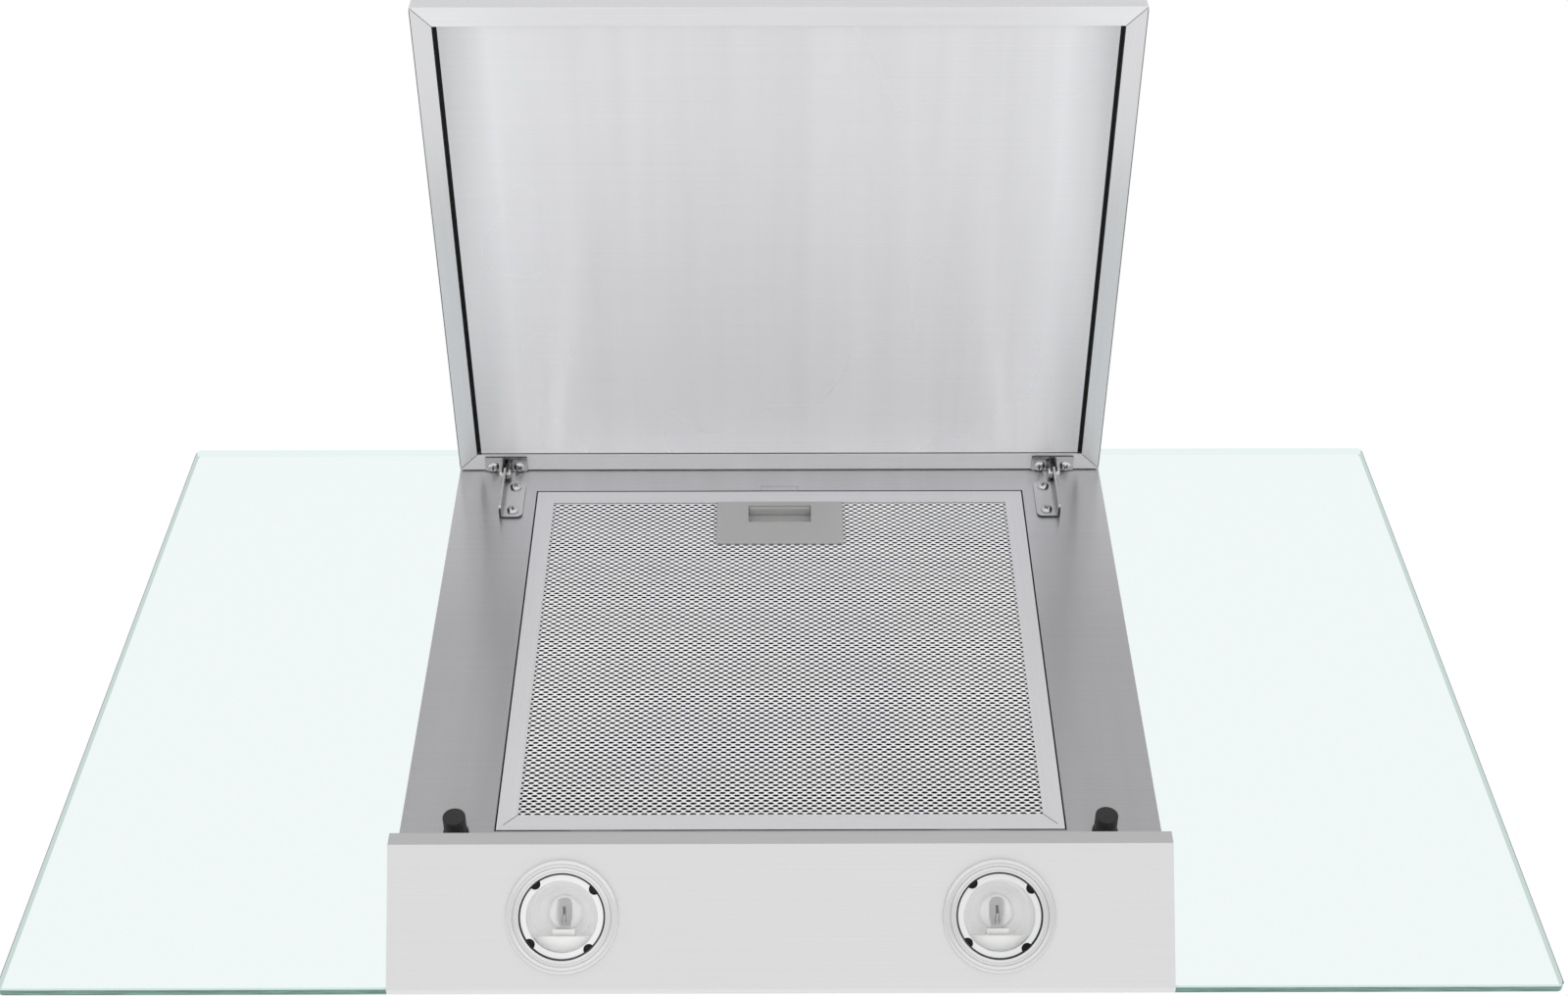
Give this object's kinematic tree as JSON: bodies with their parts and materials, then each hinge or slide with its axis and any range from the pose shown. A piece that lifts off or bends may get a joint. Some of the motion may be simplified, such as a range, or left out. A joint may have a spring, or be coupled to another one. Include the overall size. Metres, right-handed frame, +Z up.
{
  "type": "range hood",
  "caption": "Wall-hung range hood with a flat glass canopy, sloped lamp fascia, grease filter and a hinged suction panel shown open.",
  "frame": {"origin": "on the wall face of the back plate, on the centre line, level with the glass's underside", "axes": "+X along the wall to the right as the cook sees it, +Y towards the wall, +Z up"},
  "size_m": [0.8996, 0.5034, 0.6835],
  "materials": {
    "glass": "clear float glass with a green edge",
    "seal": "matte black",
    "brushed_steel": "brushed along the width",
    "zinc_steel": "galvanised sheet",
    "chrome": "polished",
    "lamp_ring": "white",
    "lens": "clear",
    "bulb": "clear quartz",
    "ceramic": "white ceramic",
    "reflector": "satin",
    "filter_metal": "satin",
    "core_foil": "crimped foil",
    "handle": "grey",
    "spring_steel": "plain",
    "damping": "stiff foam",
    "hinge_steel": "nickel plated",
    "black_plastic": "black",
    "button": "silver",
    "board": "green board",
    "transformer": "potted case",
    "impeller": "moulded",
    "motor": "painted",
    "screw": "nickel plated"
  },
  "bodies": {
    "hood": {"glass_canopy": "glass", "glass_seal_lower": "seal", "glass_seal_upper": "seal", "underside_pan": "brushed_steel", "light_fascia": "brushed_steel", "rear_return": "brushed_steel", "lamp_bezel_left": "chrome", "lamp_reflector_left": "reflector", "lamp_bulb_left": "bulb", "lamp_socket_left": "ceramic", "lamp_bezel_right": "chrome", "lamp_reflector_right": "reflector", "lamp_bulb_right": "bulb", "lamp_socket_right": "ceramic", "latch_keeper": "spring_steel", "hinge_bracket_left": "hinge_steel", "hinge_bracket_right": "hinge_steel", "hinge_bracket_screws": "screw", "panel_catches": "black_plastic", "upper_housing": "brushed_steel", "control_board": "board", "lamp_transformer": "transformer", "motor_box": "zinc_steel", "motor_box_lid": "zinc_steel", "blower_scroll": "zinc_steel", "blower_motor": "motor", "motor_bracket": "zinc_steel", "outlet_collar": "black_plastic", "damper_spindle": "spring_steel", "back_plate": "zinc_steel", "lower_duct_cover": "brushed_steel", "glass_fixings": "screw", "cable_gland": "black_plastic"},
    "panel": {"panel_skin": "brushed_steel", "panel_liner": "brushed_steel", "panel_core": "damping", "hinge_plate_left": "hinge_steel", "hinge_plate_right": "hinge_steel", "hinge_plate_screws": "screw", "hinge_pins": "hinge_steel"},
    "filter": {"filter_frame": "filter_metal", "filter_mesh_lower": "filter_metal", "filter_core": "core_foil", "filter_mesh_upper": "filter_metal", "filter_handle": "handle", "latch_spring": "spring_steel"},
    "latch": {"filter_latch": "handle"},
    "lamp_ring_left": {"lamp_ring_left": "lamp_ring", "lamp_lens_left": "lens"},
    "lamp_ring_right": {"lamp_ring_right": "lamp_ring", "lamp_lens_right": "lens"},
    "impeller": {"impeller": "impeller"},
    "flap_front": {"damper_flap_front": "black_plastic"},
    "flap_rear": {"damper_flap_rear": "black_plastic"},
    "upper_cover": {"upper_duct_cover": "brushed_steel"},
    "button_1": {"button_1": "button"},
    "button_2": {"button_2": "button"},
    "button_3": {"button_3": "button"},
    "button_4": {"button_4": "button"},
    "button_5": {"button_5": "button"}
  },
  "joints": [
    {"name": "panel_hinge", "type": "hinge", "parent": "hood", "child": "panel", "pos_m": [0, -0.0799, -0.0391], "axis": [-1, 0, 0], "range_deg": [0, 90]},
    {"name": "filter_tilt", "type": "hinge", "parent": "hood", "child": "filter", "pos_m": [0, -0.4115, -0.034], "axis": [1, 0, 0], "range_deg": [-75, 0], "deforming": ["latch_keeper"]},
    {"name": "latch_slide", "type": "slide", "parent": "filter", "child": "latch", "axis": [0, -1, 0], "range_m": [0, 0.005], "stiffness_N_per_m": 600, "deforming": ["latch_spring"]},
    {"name": "impeller_spin", "type": "hinge", "parent": "hood", "child": "impeller", "pos_m": [0, -0.15125, 0.1635], "axis": [1, 0, 0], "continuous": true},
    {"name": "flap_swing_front", "type": "hinge", "parent": "hood", "child": "flap_front", "pos_m": [0, -0.086, 0.2606], "axis": [-1, 0, 0], "range_deg": [0, 75]},
    {"name": "flap_swing_rear", "type": "hinge", "parent": "hood", "child": "flap_rear", "pos_m": [0, -0.086, 0.2606], "axis": [1, 0, 0], "range_deg": [0, 75]},
    {"name": "upper_cover_slide", "type": "slide", "parent": "hood", "child": "upper_cover", "axis": [0, 0, 1], "range_m": [0, 0.18]},
    {"name": "lamp_ring_twist_left", "type": "hinge", "parent": "hood", "child": "lamp_ring_left", "pos_m": [-0.1255, -0.47495, -0.0303], "axis": [0, -0.7221, -0.6917], "range_deg": [0, 25]},
    {"name": "lamp_ring_twist_right", "type": "hinge", "parent": "hood", "child": "lamp_ring_right", "pos_m": [0.1255, -0.47495, -0.0303], "axis": [0, -0.7221, -0.6917], "range_deg": [0, 25]},
    {"name": "button_press_1", "type": "slide", "parent": "hood", "child": "button_1", "axis": [0, 1, 0], "range_m": [0, 0.0015], "stiffness_N_per_m": 500},
    {"name": "button_press_2", "type": "slide", "parent": "hood", "child": "button_2", "axis": [0, 1, 0], "range_m": [0, 0.0015], "stiffness_N_per_m": 500},
    {"name": "button_press_3", "type": "slide", "parent": "hood", "child": "button_3", "axis": [0, 1, 0], "range_m": [0, 0.0015], "stiffness_N_per_m": 500},
    {"name": "button_press_4", "type": "slide", "parent": "hood", "child": "button_4", "axis": [0, 1, 0], "range_m": [0, 0.0015], "stiffness_N_per_m": 500},
    {"name": "button_press_5", "type": "slide", "parent": "hood", "child": "button_5", "axis": [0, 1, 0], "range_m": [0, 0.0015], "stiffness_N_per_m": 500}
  ]
}
